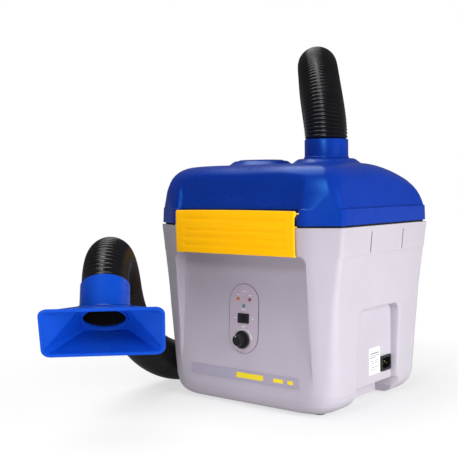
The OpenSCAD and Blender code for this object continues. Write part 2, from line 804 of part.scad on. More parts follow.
module exhaust_grille() {
    color("black") translate([-notch_x, 0, 92]) rotate([90, 0, -90]) difference() {
        union() {
            translate([0, 0, 0.02]) rounded_plate(104, 98, 6, 2.5);
            translate([-46.6, -43.6, -3.4]) cube([93.2, 87.2, 4]);
        }
        for (x = [-36:12:36]) translate([x, 0, 0]) cube([6, 74, 20], center = true);
    }
}

// One insulated lead through a list of corners, with a bead of insulation at each bend.
module lead(points, r) {
    for (i = [0:len(points) - 2]) {
        d = points[i + 1] - points[i];
        translate(points[i]) rotate([0, acos(d[2] / norm(d)), atan2(d[1], d[0])])
            cylinder(r = r, h = norm(d));
        if (i > 0) translate(points[i]) sphere(r = r + 0.5);
    }
}

// Leads from the mains inlet to the power supply and from the motor to the control board.
module wiring() {
    color("red") {
        for (y = [38, 47]) lead([[notch_x - 33, y, 58], [78, y, 58], [78, y, foot_h + 17]], 1.8);
        lead([[0, -36.4, 80], [0, -50, 80], [0, -50, foot_h + 17]], 1.8);
    }
}

body_shell();
base_cover();
base_screws();
rubber_feet();
lid_shell();
lid_gasket();
front_latch();
rear_latch();
latch_pins();
duct_collar();
port_cap();
duct_upper();
duct_lower();
duct_link();
duct_arm();
nozzle();
panel_overlay();
filter_lamp();
alarm_lamp();
power_lamp();
switch_housing();
switch_rocker();
speed_knob();
pot_body();
pot_shaft();
pot_nut();
mains_inlet();
inlet_pins();
rating_label();
front_strip();
filter_shelf();
filter_gasket();
main_filter_frame();
main_filter_media();
pre_filter();
blower_scroll();
blower_screws();
impeller();
motor();
motor_shaft();
motor_screws();
control_board();
board_screws();
power_supply();
exhaust_grille();
wiring();
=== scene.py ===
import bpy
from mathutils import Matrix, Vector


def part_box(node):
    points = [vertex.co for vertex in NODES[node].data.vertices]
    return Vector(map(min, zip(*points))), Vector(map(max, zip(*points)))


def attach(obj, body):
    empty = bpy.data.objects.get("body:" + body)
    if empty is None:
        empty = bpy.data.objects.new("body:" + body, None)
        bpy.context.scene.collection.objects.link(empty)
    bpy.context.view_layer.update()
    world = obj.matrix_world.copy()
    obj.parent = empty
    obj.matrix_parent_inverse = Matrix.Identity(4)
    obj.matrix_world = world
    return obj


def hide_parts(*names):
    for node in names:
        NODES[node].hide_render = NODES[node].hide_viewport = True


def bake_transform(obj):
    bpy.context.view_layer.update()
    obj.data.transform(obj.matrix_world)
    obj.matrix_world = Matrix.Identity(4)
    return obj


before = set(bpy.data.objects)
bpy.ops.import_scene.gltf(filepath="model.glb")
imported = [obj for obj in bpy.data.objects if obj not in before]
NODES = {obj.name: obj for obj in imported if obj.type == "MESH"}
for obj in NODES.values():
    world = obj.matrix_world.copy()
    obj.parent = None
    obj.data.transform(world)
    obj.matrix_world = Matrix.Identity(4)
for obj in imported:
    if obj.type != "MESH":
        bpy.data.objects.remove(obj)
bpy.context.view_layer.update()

import bpy
import bmesh
import math
import numpy as np
from mathutils import Matrix, Vector

MM = 0.001
scene = bpy.context.scene


# ---------------------------------------------------------------- helpers

def make(name, verts, faces):
    """A new object from points in millimetres."""
    me = bpy.data.meshes.new(name)
    me.from_pydata([tuple(c * MM for c in v) for v in verts], [], faces)
    me.validate()
    me.update()
    ob = bpy.data.objects.new(name, me)
    scene.collection.objects.link(ob)
    return ob


def outward(ob):
    bm = bmesh.new()
    bm.from_mesh(ob.data)
    bmesh.ops.recalc_face_normals(bm, faces=bm.faces)
    bm.to_mesh(ob.data)
    bm.free()
    return ob


def smooth(ob, angle=40):
    for p in ob.data.polygons:
        p.use_smooth = True
    if angle < 180:
        ob.data.set_sharp_from_angle(angle=math.radians(angle))
    return ob


def bake(ob):
    """Replaces the mesh with what its modifiers make of it."""
    bpy.context.view_layer.update()
    dg = bpy.context.evaluated_depsgraph_get()
    me = bpy.data.meshes.new_from_object(ob.evaluated_get(dg))
    ob.modifiers.clear()
    ob.data = me
    return ob


def drop(ob):
    bpy.data.objects.remove(ob, do_unlink=True)


def cut(ob, *others):
    """Takes the others away from ob, and drops them."""
    for other in others:
        m = ob.modifiers.new("b", "BOOLEAN")
        m.operation = "DIFFERENCE"
        m.solver = "EXACT"
        m.object = other
        bake(ob)
    for other in others:
        drop(other)
    return ob


def merge(ob, *others):
    """Adds the others' meshes to ob's, and drops them."""
    bm = bmesh.new()
    bm.from_mesh(ob.data)
    for other in others:
        bm.from_mesh(other.data)
    bm.to_mesh(ob.data)
    bm.free()
    for other in others:
        drop(other)
    return ob


def bevel(ob, width):
    m = ob.modifiers.new("bevel", "BEVEL")
    m.width = width * MM
    m.segments = 2
    m.limit_method = "ANGLE"
    m.angle_limit = math.radians(30)
    m.harden_normals = True
    return ob


def loft(name, loops):
    """Closed solid through equal loops of points, capped at both ends."""
    n = len(loops[0])
    verts = [p for loop in loops for p in loop]
    faces = []
    for k in range(len(loops) - 1):
        for i in range(n):
            j = (i + 1) % n
            faces.append((k * n + i, k * n + j, (k + 1) * n + j, (k + 1) * n + i))
    faces.append(tuple(range(n))[::-1])
    faces.append(tuple((len(loops) - 1) * n + i for i in range(n)))
    return outward(make(name, verts, faces))


def block(name, lo, hi):
    x0, y0, z0 = lo
    x1, y1, z1 = hi
    return loft(name, [[(x0, y0, z), (x1, y0, z), (x1, y1, z), (x0, y1, z)] for z in (z0, z1)])


def lathe(name, profile, at=None, n=64):
    """profile: (radius, height) pairs, closed on itself."""
    verts = []
    for r, z in profile:
        for i in range(n):
            a = 2 * math.pi * i / n
            verts.append((r * math.cos(a), r * math.sin(a), z))
    faces = []
    m = len(profile)
    for k in range(m):
        q = (k + 1) % m
        for i in range(n):
            j = (i + 1) % n
            faces.append((k * n + i, k * n + j, q * n + j, q * n + i))
    ob = make(name, verts, faces)
    bm = bmesh.new()
    bm.from_mesh(ob.data)
    bmesh.ops.remove_doubles(bm, verts=bm.verts, dist=1e-7)
    bmesh.ops.recalc_face_normals(bm, faces=bm.faces)
    bm.to_mesh(ob.data)
    bm.free()
    if at is not None:
        ob.data.transform(at)
    return smooth(ob, 35)


def plug_profile(r, z0, z1):
    """Profile of a plain round cutter."""
    return [(0.0001, z0), (r, z0), (r, z1), (0.0001, z1)]


def spot(x, y, z):
    return Matrix.Translation((x * MM, y * MM, z * MM))


def on_panel(z, dx=0.0, out=0.0):
    """Frame on the leaning front panel: local Y runs up it, local Z out of it."""
    lean = math.radians(90) - math.atan(0.055)
    m = spot(dx, -(144 - 0.055 * z), z) @ Matrix.Rotation(lean, 4, "X")
    return m @ Matrix.Translation((0, 0, out * MM))


# ---------------------------------------------------------------- materials

def tree(name):
    m = bpy.data.materials.new(name)
    m.use_nodes = True
    nt = m.node_tree
    return m, nt, nt.nodes["Principled BSDF"]


def noise(nt, coord, scale, detail=3.0):
    n = nt.nodes.new("ShaderNodeTexNoise")
    n.inputs["Scale"].default_value = scale
    n.inputs["Detail"].default_value = detail
    nt.links.new(coord, n.inputs["Vector"])
    return n.outputs["Fac"]


def spread(nt, fac, lo, hi, a=0.3, b=0.7):
    """Maps the range a to b onto lo to hi."""
    n = nt.nodes.new("ShaderNodeMapRange")
    n.inputs["From Min"].default_value = a
    n.inputs["From Max"].default_value = b
    n.inputs["To Min"].default_value = lo
    n.inputs["To Max"].default_value = hi
    nt.links.new(fac, n.inputs["Value"])
    return n.outputs["Result"]


def mix(nt, fac, a, b):
    n = nt.nodes.new("ShaderNodeMix")
    n.data_type = "RGBA"
    ins = [s for s in n.inputs if s.type == "RGBA"]
    for s, v in zip(ins, (a, b)):
        if isinstance(v, tuple):
            s.default_value = (*v, 1)
        else:
            nt.links.new(v, s)
    if isinstance(fac, (int, float)):
        n.inputs[0].default_value = fac
    else:
        nt.links.new(fac, n.inputs[0])
    return [s for s in n.outputs if s.type == "RGBA"][0]


def surface(name, color, rough=0.45, grain=900, bump=0.05, vary=0.06, wear=0.0, coat=0.0,
            metal=0.0, spec=0.5, sheen=0.0, stretch=None, glow=0.0):
    """A moulded, painted, drawn or woven finish: uneven colour, uneven gloss, surface grain, worn edges, and,
    with glow, painted light: the surface shines with its own colour whatever the lamps.
    """
    m, nt, p = tree(name)
    c = nt.nodes.new("ShaderNodeTexCoord").outputs["Object"]
    if stretch:
        s = nt.nodes.new("ShaderNodeMapping")
        s.inputs["Scale"].default_value = stretch
        nt.links.new(c, s.inputs["Vector"])
        fine = s.outputs["Vector"]
    else:
        fine = c
    lighter = tuple(min(1, v * (1 + vary) + 0.003) for v in color)
    darker = tuple(v * (1 - vary) for v in color)
    col = mix(nt, spread(nt, noise(nt, c, 14), 0, 1), darker, lighter)
    if wear:
        geo = nt.nodes.new("ShaderNodeNewGeometry").outputs["Pointiness"]
        edge = spread(nt, geo, 0, wear, 0.52, 0.60)
        pale = tuple(min(1, v * 1.25 + 0.05) for v in color)
        col = mix(nt, edge, col, pale)
    nt.links.new(col, p.inputs["Base Color"])
    nt.links.new(spread(nt, noise(nt, fine, 120, 4), rough * 0.88, rough * 1.12), p.inputs["Roughness"])
    b = nt.nodes.new("ShaderNodeBump")
    b.inputs["Strength"].default_value = bump
    b.inputs["Distance"].default_value = 0.0004
    nt.links.new(noise(nt, fine, grain, 2), b.inputs["Height"])
    nt.links.new(b.outputs["Normal"], p.inputs["Normal"])
    p.inputs["Metallic"].default_value = metal
    p.inputs["Specular IOR Level"].default_value = spec
    p.inputs["Coat Weight"].default_value = coat
    p.inputs["Coat Roughness"].default_value = 0.12
    p.inputs["Sheen Weight"].default_value = sheen
    # painted light: with glow the surface emits its own colour, so it looks brighter than the lamps make it
    if glow:
        nt.links.new(col, p.inputs["Emission Color"])
        p.inputs["Emission Strength"].default_value = glow
    return m


GREY = surface("grey_shell", (0.49, 0.458, 0.515), 0.46, grain=1400, bump=0.10, vary=0.02, wear=0.10)
# one blue plastic in two tones: darker on the lid, collar and cap, lighter on the nozzle; the difference
# between them is painted light and shade
BLUE = surface("blue_plastic", (0.003, 0.034, 0.33), 0.30, grain=900, bump=0.006, vary=0.04,
               wear=0.04, spec=0.42)
BLUE_PAINTED_LIGHTER = surface("blue_plastic_painted_lighter", (0.003, 0.058, 0.46), 0.30, grain=900, bump=0.006, vary=0.04,
                      wear=0.06, spec=0.42)
# the yellow latches glow: painted light, an emission that brightens them beyond what the lamps give
YELLOW = surface("yellow_plastic", (1.0, 0.49, 0.0), 0.50, grain=1200, bump=0.06, vary=0.03,
                 wear=0.05, spec=0.25, glow=0.26)
BLUE_SHINE, YELLOW_SHINE = (0.08, 0.45, 1.0, 1), (1.0, 0.8, 0.3, 1)
for plastic, tint in ((BLUE, BLUE_SHINE), (BLUE_PAINTED_LIGHTER, BLUE_SHINE), (YELLOW, YELLOW_SHINE)):
    plastic.node_tree.nodes["Principled BSDF"].inputs["Specular Tint"].default_value = tint
HOSE = surface("duct", (0.003, 0.003, 0.004), 0.22, grain=500, bump=0.006, vary=0.2, spec=0.32)
BLACK = surface("black_plastic", (0.006, 0.006, 0.007), 0.34, grain=900, bump=0.05, vary=0.2,
                wear=0.2, spec=0.3)
OVERLAY = surface("overlay", (0.52, 0.45, 0.52), 0.38, grain=700, bump=0.02, vary=0.02)
STRIP = surface("strip", (0.40, 0.37, 0.46), 0.40, grain=700, bump=0.02, vary=0.03)
PRINT = surface("print_white", (0.82, 0.81, 0.84), 0.5, grain=900, bump=0.02, vary=0.02)
PRINT_DARK = surface("print_dark", (0.09, 0.08, 0.10), 0.5, grain=900, bump=0.02, vary=0.1)
PRINT_YELLOW = surface("print_yellow", (0.90, 0.74, 0.02), 0.45, grain=900, bump=0.02, vary=0.03)
LABEL = surface("label", (0.80, 0.80, 0.83), 0.45, grain=600, bump=0.03, vary=0.02)
RUBBER = surface("feet", (0.022, 0.022, 0.023), 0.75, grain=700, bump=0.2, vary=0.2)
STEEL = surface("steel", (0.60, 0.60, 0.62), 0.28, grain=600, bump=0.05, vary=0.05, metal=1,
                stretch=(40, 40, 2))
ZINC = surface("screws", (0.62, 0.62, 0.60), 0.35, grain=900, bump=0.08, vary=0.08, metal=1)
SHEET = surface("sheet_steel", (0.62, 0.63, 0.65), 0.38, grain=90, bump=0.05, vary=0.12, metal=1)
BRASS = surface("brass", (0.78, 0.60, 0.30), 0.25, grain=800, bump=0.04, vary=0.06, metal=1)
COVER = surface("dark_cover", (0.11, 0.11, 0.12), 0.5, grain=800, bump=0.15, vary=0.08, metal=0.2)
CARD = surface("filter_card", (0.62, 0.55, 0.43), 0.85, grain=260, bump=0.30, vary=0.06, stretch=(1, 1, 8))
PAPER = surface("filter_paper", (0.80, 0.77, 0.68), 0.9, grain=420, bump=0.35, vary=0.05, sheen=0.2)
FLEECE = surface("filter_fleece", (0.60, 0.61, 0.63), 0.95, grain=180, bump=1.0, vary=0.12, sheen=0.6)
INNER = surface("inner_plastic", (0.045, 0.045, 0.05), 0.5, grain=900, bump=0.08, vary=0.1)
MOTOR = surface("motor_case", (0.45, 0.46, 0.48), 0.42, grain=300, bump=0.2, vary=0.06, metal=0.9)
BOARD = surface("circuit_board", (0.012, 0.16, 0.05), 0.35, grain=500, bump=0.08, vary=0.2)
LEADS = surface("lead_insulation", (0.42, 0.015, 0.015), 0.4, grain=700, bump=0.05, vary=0.1)
AMBER = surface("lamp_orange", (0.55, 0.12, 0.015), 0.12, grain=300, bump=0.01, vary=0.1, coat=0.6)
RED = surface("lamp_red", (0.22, 0.008, 0.012), 0.12, grain=300, bump=0.01, vary=0.1, coat=0.6)
GREEN = surface("lamp_green", (0.005, 0.20, 0.14), 0.12, grain=300, bump=0.01, vary=0.1, coat=0.6)

KEPT = {
    "base_cover": COVER, "base_screws": ZINC, "blower_screws": ZINC, "motor_screws": ZINC,
    "board_screws": ZINC, "rubber_feet": RUBBER, "lid_gasket": RUBBER, "filter_gasket": RUBBER,
    "latch_pins": STEEL, "pot_shaft": STEEL, "pot_nut": STEEL, "motor_shaft": STEEL,
    "switch_housing": BLACK, "switch_rocker": BLACK, "mains_inlet": BLACK, "exhaust_grille": BLACK,
    "pot_body": BLACK, "inlet_pins": BRASS, "panel_overlay": OVERLAY, "front_strip": STRIP,
    "rating_label": LABEL, "filter_lamp": AMBER, "alarm_lamp": RED, "power_lamp": GREEN,
    "filter_shelf": SHEET, "power_supply": SHEET, "main_filter_frame": CARD,
    "main_filter_media": PAPER, "blower_scroll": INNER, "impeller": INNER,
    "motor": MOTOR, "control_board": BOARD, "wiring": LEADS,
}
# bevel widths, mm
BEVELLED = {"switch_housing": 0.4, "switch_rocker": 0.4, "mains_inlet": 0.5, "exhaust_grille": 0.6}


def paint(ob, mat):
    ob.data.materials.clear()
    ob.data.materials.append(mat)
    return ob


def finish_piece(ob, body, mat, slot_name, *nodes):
    paint(ob, mat)
    if nodes:
        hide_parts(*nodes)
    if body:
        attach(ob, body)
    return ob


for n, mat in KEPT.items():
    o = NODES[n]
    o.data.materials.clear()
    o.data.materials.append(mat)
    if n in BEVELLED:
        bevel(o, BEVELLED[n])


# ---------------------------------------------------------------- cabinet and lid as smooth fields

# rim of the cabinet: height, half width and depth, and where the corner faces meet the fronts and sides
RIM = 281
RIM_X, RIM_Y = 177.5, 160.0
CORNER_X, CORNER_Y = 125, 130.7
# direction of a corner face's normal, and how far from the centre it stands at the rim
TURN = math.radians(60.8)
REACH = RIM_X * math.cos(TURN) + CORNER_Y * math.sin(TURN)
CORNER_LEAN = math.tan(math.radians(3.9))
PORT_X, PORT_R = 65.6, 31.5
# rays start on a spine this far out along each axis
SPINE_X, SPINE_Y = 122, 85


def smax(a, b, k):
    """Larger of the two, with the crease between them rounded over k."""
    h = np.maximum(k - np.abs(a - b), 0) / k
    return np.maximum(a, b) + h * h * k / 4


def col(table, z, k):
    return np.interp(z, [t[0] for t in table], [t[k] for t in table])


# height, half width, half depth, side rounding, front rounding, how much the corner face is pushed out
CABINET = [
    (4.0, 135, 130, 26, 14, -9), (6, 140, 133.4, 26, 13, -6), (10, 146.5, 136.6, 24, 11, -3),
    (16, 152.4, 139.4, 22, 10, 0), (23, 156, 141, 20, 9, 1), (32, 158, 141.8, 18, 8, 2),
    (60, 159.2, 142.4, 15, 7, 1.5), (85, 160, 144, 13, 7, 1.2), (150, 163, 148.5, 9, 7, 1),
    (175, 164, 150, 8, 7, 0.5), (205, 168, 152.6, 7, 7, 0), (232, 171.2, 155.2, 6, 7, 0),
    (237.0, 171.9, 155.7, 6, 7, 0), (239.5, 173.4, 157.0, 6, 8, 0), (262, 175.5, 158.6, 5, 10, 0),
    (281, 177.5, 160, 4, 10, 0)]


def cabinet_field(x, y, z):
    ax, ay = np.abs(x), np.abs(y)
    c = REACH - (RIM - z) * CORNER_LEAN + col(CABINET, z, 5)
    f = smax(ax - col(CABINET, z, 1), ax * math.cos(TURN) + ay * math.sin(TURN) - c, col(CABINET, z, 3))
    f = smax(f, ay - col(CABINET, z, 2), col(CABINET, z, 4))
    # the front panel lies in a shallow recess, deepest under the latch
    edge = smax(ax - np.interp(z, [40, 238], [126.5, 124.5]), np.maximum(z - 239, 30 - z), 12)
    recess = np.maximum((144 - 0.055 * z) - ay, edge)
    f = smax(f, -recess, 2.5)
    notch = np.maximum(147 - ax, smax(ay - 62, z - 152, 18))
    f = smax(f, -notch, 6)
    foot = np.maximum(np.maximum(118 - ax, ay - 62), z - 29)
    return smax(f, -foot, 3)


def lid_top(x, y):
    """Height of the double dome: a round port on each half, a valley between, lower to the rear."""
    best = None
    turn = np.where(y < 0, 0.41, 1.57)
    for s in (-1, 1):
        dx = x - s * PORT_X
        r = np.hypot(dx, y)
        edge = np.clip((r - 43) / 15, 0, 1)
        far = np.maximum(np.hypot(dx * 0.72, y * turn) - 37, 0)
        ring = 7.2 * edge * edge * (3 - 2 * edge)
        h = 384.8 - ring - 1.6 * (1 - np.exp(-np.maximum(r - 50, 0) / 20)) - 12.3 * (far / 100) ** 1.51
        best = h if best is None else smax(best, h, 2.5)
    return best


def lid_field(x, y, z):
    ax, ay = np.abs(x), np.abs(y)
    w = np.interp(z, [284, 307.6, 308.8, 335, 400], [175.5, 176.2, 172.6, 171.2, 162.0])
    d = np.interp(z, [284, 307.6, 308.8, 335, 400], [158.0, 158.6, 154.6, 152.0, 151.0])
    c = REACH - 1 - (z - RIM) * math.tan(math.radians(3))
    f = smax(smax(ax - w, ay - d, 2), ax * math.cos(TURN) + ay * math.sin(TURN) - c,
             np.interp(z, [284, 309, 345], [4, 6, 24]))
    f = smax(f, z - lid_top(x, y), 41)
    # flat end face that leans in and ends at an arch
    end = (ax + (z - 310) * 0.16 - 171.7 - 0.10 * np.maximum(ay - 112, 0)) * 0.987
    f = smax(f, np.where(z > 309, end, -50), 1.4)
    # hollow sweep above each latch
    scoop = smax(np.hypot(ay - 222, z - 336.5) - 76, ax - 116, 5)
    f = smax(f, -scoop, 7)
    pocket = np.minimum(np.maximum(156.4 - ay, z - 314), np.hypot(ay - 157.5, z - 301.5) - 9)
    return smax(f, -np.maximum(ax - 115.6, pocket), 1.0)


def ring_targets():
    """Where a full ring's rays aim, as (kind, target, sign x, sign y): dense where walls and slots end."""
    side = sorted({0.0, float(SPINE_Y)} | set(np.arange(0, 56, 6.0)) | set(np.arange(56, 70, 1.2))
                  | set(np.arange(70, SPINE_Y, 5.0)))
    front = sorted({0.0, float(SPINE_X)} | set(np.arange(0, 108, 6.0)) | set(np.arange(108, SPINE_X, 1.0)))
    fan = [(RIM_X, y) for y in np.linspace(SPINE_Y, CORNER_Y, 14)[1:]]
    fan += [(RIM_X + (CORNER_X - RIM_X) * u, CORNER_Y + (RIM_Y - CORNER_Y) * u)
            for u in np.linspace(0, 1, 22)[1:]]
    fan += [(x, RIM_Y) for x in np.linspace(CORNER_X, SPINE_X, 4)[1:]]
    quarter = [("side", (0, y)) for y in side] + [("fan", t) for t in fan]
    quarter += [("front", (x, 0)) for x in front[::-1][1:]]
    ring = [(k, t, 1, 1) for k, t in quarter]
    ring += [(k, t, -1, 1) for k, t in quarter[::-1][1:]]
    ring += [(k, t, -1, -1) for k, t in quarter[1:]]
    ring += [(k, t, 1, -1) for k, t in quarter[::-1][1:-1]]
    return ring


RING = ring_targets()


def ring_rays(s, q):
    """Start points and directions of the ring's rays, from a spine s by q."""
    start, way = [], []
    for kind, (tx, ty), sx, sy in RING:
        if kind == "side":
            o, d = (s, ty * q / SPINE_Y), (1.0, 0.0)
        elif kind == "front":
            o, d = (tx * s / SPINE_X, q), (0.0, 1.0)
        else:
            o, d = (s, q), (tx - s, ty - q)
        n = math.hypot(*d)
        start.append((o[0] * sx, o[1] * sy))
        way.append((d[0] / n * sx, d[1] / n * sy))
    return np.array(start), np.array(way)


def reach(field, origin, way, off):
    """How far each ray gets before the field rises above -off, by bisection."""
    far = 150
    lo, hi = np.zeros(len(origin)), np.full(len(origin), float(far))
    for _ in range(30):
        mid = (lo + hi) / 2
        p = origin + way * mid[:, None]
        inside = field(p[:, 0], p[:, 1], p[:, 2]) < -off
        lo, hi = np.where(inside, mid, lo), np.where(inside, hi, mid)
    return origin + way * lo[:, None]


def field_mesh(name, field, rows, inner, off=0.0, dome=None):
    """Closed surface of a field: level rings, then, for a dome, rings that climb over it to the middle."""
    loops = []
    for z in rows:
        s, way = ring_rays(*inner(z))
        o = np.column_stack([s, np.full(len(s), z)])
        loops.append(reach(field, o, np.column_stack([way, np.zeros(len(s))]), off))
    if dome:
        z = rows[-1]
        s, way = ring_rays(*inner(z))
        o = np.column_stack([s, np.full(len(s), z)])
        for a in np.radians(np.linspace(0, 90, dome)[1:]):
            d = np.column_stack([way * math.cos(a), np.full(len(s), math.sin(a))])
            loops.append(reach(field, o, d, off))
        d = np.column_stack([way * 0, np.ones(len(s))])
        for u in np.linspace(0, 0.97, 46)[1:]:
            o2 = o.copy()
            o2[:, :2] *= 1 - u
            loops.append(reach(field, o2, d, off))
    return loft(name, [[tuple(p) for p in loop] for loop in loops])


def spaced(*parts):
    """Heights from (from, to, count) parts, without repeats."""
    return sorted({round(float(v), 3) for a, b, n in parts for v in np.linspace(a, b, n)})


def build_cabinet():
    def inner(z):
        return (float(np.interp(z, [29, 34], [108, SPINE_X])), float(np.interp(z, [29, 34], [76, SPINE_Y])))

    rows = spaced((4, 26, 16), (26, 32, 9), (32, 60, 12), (60, 132, 12), (132, 158, 16), (158, 226, 12),
                  (226, 246, 22), (246, 281, 9))
    shell = field_mesh("cabinet_shell", cabinet_field, rows, inner)
    hollow = field_mesh("hollow", cabinet_field, [10.0] + [z for z in rows if 10.5 < z < 275] + [276.0],
                        lambda z: (inner(z)[0] - 5, inner(z)[1] - 5), 3.6)
    cut(shell, hollow)
    start, way = ring_rays(100, 70)
    rim = reach(cabinet_field, np.column_stack([start, np.full(len(RING), 280.0)]),
                np.column_stack([way, np.zeros(len(RING))]), 14)
    cut(shell, loft("rim_hole", [[(x, y, z) for x, y, _ in rim] for z in (268.0, 290.0)]))
    cut(shell, block("cover_hole", (-100, -100, 0), (100, 100, 7)))
    cut(shell, block("floor_hole", (-84, -84, 0), (84, 84, 14)))
    holes = [block("h", (-9.5, -160, 131.5), (9.5, -120, 144.5)),
             block("h", (147 - 22, 42.5 - 13.8, 46.2), (147 + 8, 42.5 + 13.8, 66.8)),
             block("h", (-147 - 8, -47, 48), (-147 + 22, 47, 136))]
    for s in (-1, 1):
        for y in (-49.3, 49.3):
            a, b = sorted((s * 168, s * 190))
            holes.append(block("slit", (a, y - 1.2, 241), (b, y + 1.2, 273)))
    for z, x, r in ((105, 0, 3.6), (167.5, -11.2, 2.7), (167.5, 11.2, 2.7), (157.3, 0, 2.7)):
        holes.append(lathe("h", plug_profile(r, -14, 14), on_panel(z, x), 24))
    cut(shell, *holes)
    return smooth(shell, 35)


def build_lid():
    rows = spaced((284, 306, 8), (306, 311, 11), (311, 334, 12))
    lid = field_mesh("lid_dome", lid_field, rows, lambda z: (float(SPINE_X), float(SPINE_Y)), 0, 34)
    hollow = field_mesh("hollow", lid_field, spaced((280, 306, 5), (306, 334, 8)),
                        lambda z: (115.0, 80.0), 3.4, 16)
    for x in (-PORT_X, PORT_X):
        cut(hollow, lathe("keep", plug_profile(35, 340, 400), spot(x, 0, 0), 48))
    cut(lid, hollow)
    for x in (-PORT_X, PORT_X):
        cut(lid, lathe("port", plug_profile(PORT_R, 330, 400), spot(x, 0, 0), 64))
    return smooth(lid, 35)


# ---------------------------------------------------------------- latches

def latch_points():
    """Section of a latch as (y outward from the centre plane, z): its face and its back."""
    face = [(161.2, 305.2), (162.6, 305.6), (164.0, 304.8), (164.7, 303.0)]
    face += [(164.8 + 0.25 * math.sin(math.pi * k / 26), 301.5 - (301.5 - 281) * k / 13)
             for k in range(1, 14)]
    face += [(165.0 - 1.5 * ((k / 27) ** 1.5), 281 - 40.5 * k / 27) for k in range(1, 28)]
    face += [(163.3, 239.6), (162.6, 239.0), (161.4, 239.0), (160.7, 239.8)]
    back = [(160.7, 242.5), (161.6, 246), (162.3, 262), (162.7, 281), (162.5, 296),
            (159.6, 298.2), (157.9, 299.5), (158.2, 303.5)]
    return face, back


def latch_mesh(name, sign):
    face, back = latch_points()
    half = 114.6
    xs = [-half, -half + 0.35, -half + 1.2, -half + 3]
    xs += list(np.linspace(-half + 6, half - 6, 116))
    xs += [half - 3, half - 1.2, half - 0.35, half]
    grooves = (251.5, 263.5, 275.0, 292.0)
    verts = []
    for x in xs:
        inset = {0: 0.9, 1: 0.35, 2: 0.08}.get(min(xs.index(x), len(xs) - 1 - xs.index(x)), 0)
        for k, (y, z) in enumerate(face + back):
            d = 0.0
            if k < len(face):
                end = min(1.0, max(0.0, (half - 13.5 - abs(x)) / 5.0))
                end = end * end * (3 - 2 * end)
                for g in grooves:
                    u = abs(z - g) / 2.6
                    if u < 1:
                        d += 1.6 * end * (1 - u * u) ** 0.6
                z = z + 0.8 * (1 - (x / half) ** 2) * (1 if z > 296 else 0)
                y = y - inset
            else:
                y = y + inset * 0.4
            verts.append((x, sign * (y - d), z))
    n = len(face) + len(back)
    faces = []
    for i in range(len(xs) - 1):
        for k in range(n):
            q = (k + 1) % n
            faces.append((i * n + k, i * n + q, (i + 1) * n + q, (i + 1) * n + k))
    faces += [tuple(range(n)), tuple((len(xs) - 1) * n + k for k in range(n))]
    ob = outward(make(name, verts, faces))
    knuckle = lathe("knuckle", [(1.56, -half + 4), (3.8, -half + 4), (3.8, half - 4), (1.56, half - 4)],
                    spot(0, sign * 157.5, 301.5) @ Matrix.Rotation(math.pi / 2, 4, "Y"), 32)
    parts = [knuckle]
    for s in (-1, 1):
        lo, hi = sorted((sign * 160.0, sign * 163.4))
        parts.append(block("ear", (s * half - 1.4 + s * 0.9, lo, 281.6),
                           (s * half + 1.4 + s * 0.9, hi, 283.4)))
    return smooth(merge(ob, *parts), 38)


# ---------------------------------------------------------------- hose

# the duct drops behind the cabinet at DROP; its lower path starts at the height SPLIT, its arch at ARCH
DROP = (-116.0, 270.0)
SPLIT, ARCH = 395, 417
FLOOR_Z = 34
LOOK = math.radians(39.09)
DOWN = np.array([[-1, 0, 0], [0, 1, 0], [0, 0, -1.0]])
RUN = [[SPLIT - FLOOR_Z - 85, 0, 85, 90], [0, -90, 90, 60], [0, 0, 90, 60], [124, 180, 120, 28.8],
       [0, -97, 206, 57], [0, 0, 206, 2.4], [0, 0, 206, 11.4], [0, 0, 206, 2.8],
       [0, 218.4, 77, 63.15], [0, 0, 77, 63.15]]


def walk(path, p, m, step, ring=None):
    """Points along a path of [straight, roll, bend radius, bend angle], with a frame that never twists."""
    p, m = np.array(p, float), np.array(m, float)
    ring = m.copy() if ring is None else ring
    out = [(p.copy(), ring.copy())]
    for length, roll, radius, angle in path:
        if length > 0:
            n = max(1, round(length / step))
            for _ in range(n):
                p = p + m[:, 2] * length / n
                out.append((p.copy(), ring.copy()))
        a = math.radians(roll)
        m = m @ np.array([[math.cos(a), -math.sin(a), 0], [math.sin(a), math.cos(a), 0], [0, 0, 1]])
        if angle > 0:
            n = max(1, round(radius * math.radians(angle) / step))
            t = math.radians(angle) / n
            turn = np.array([[math.cos(t), 0, math.sin(t)], [0, 1, 0], [-math.sin(t), 0, math.cos(t)]])
            for _ in range(n):
                p = p + m[:, 0] * radius * (1 - math.cos(t)) + m[:, 2] * radius * math.sin(t)
                world = m @ turn @ m.T
                m = m @ turn
                ring = world @ ring
                out.append((p.copy(), ring.copy()))
    return out, p, m


VALLEY_R, RIB_H, INSIDE_R = 31.5, 2.5, 30.7
PER_RIB = 7
PITCH = 5.7
STEP = PITCH / PER_RIB
AROUND = 60


def rib_radius(k):
    """Outside radius at step k: a valley at every PER_RIB-th step."""
    u = (k % PER_RIB) / PER_RIB
    return VALLEY_R + RIB_H * (math.sin(math.pi * u) ** 0.7 if u > 0 else 0)


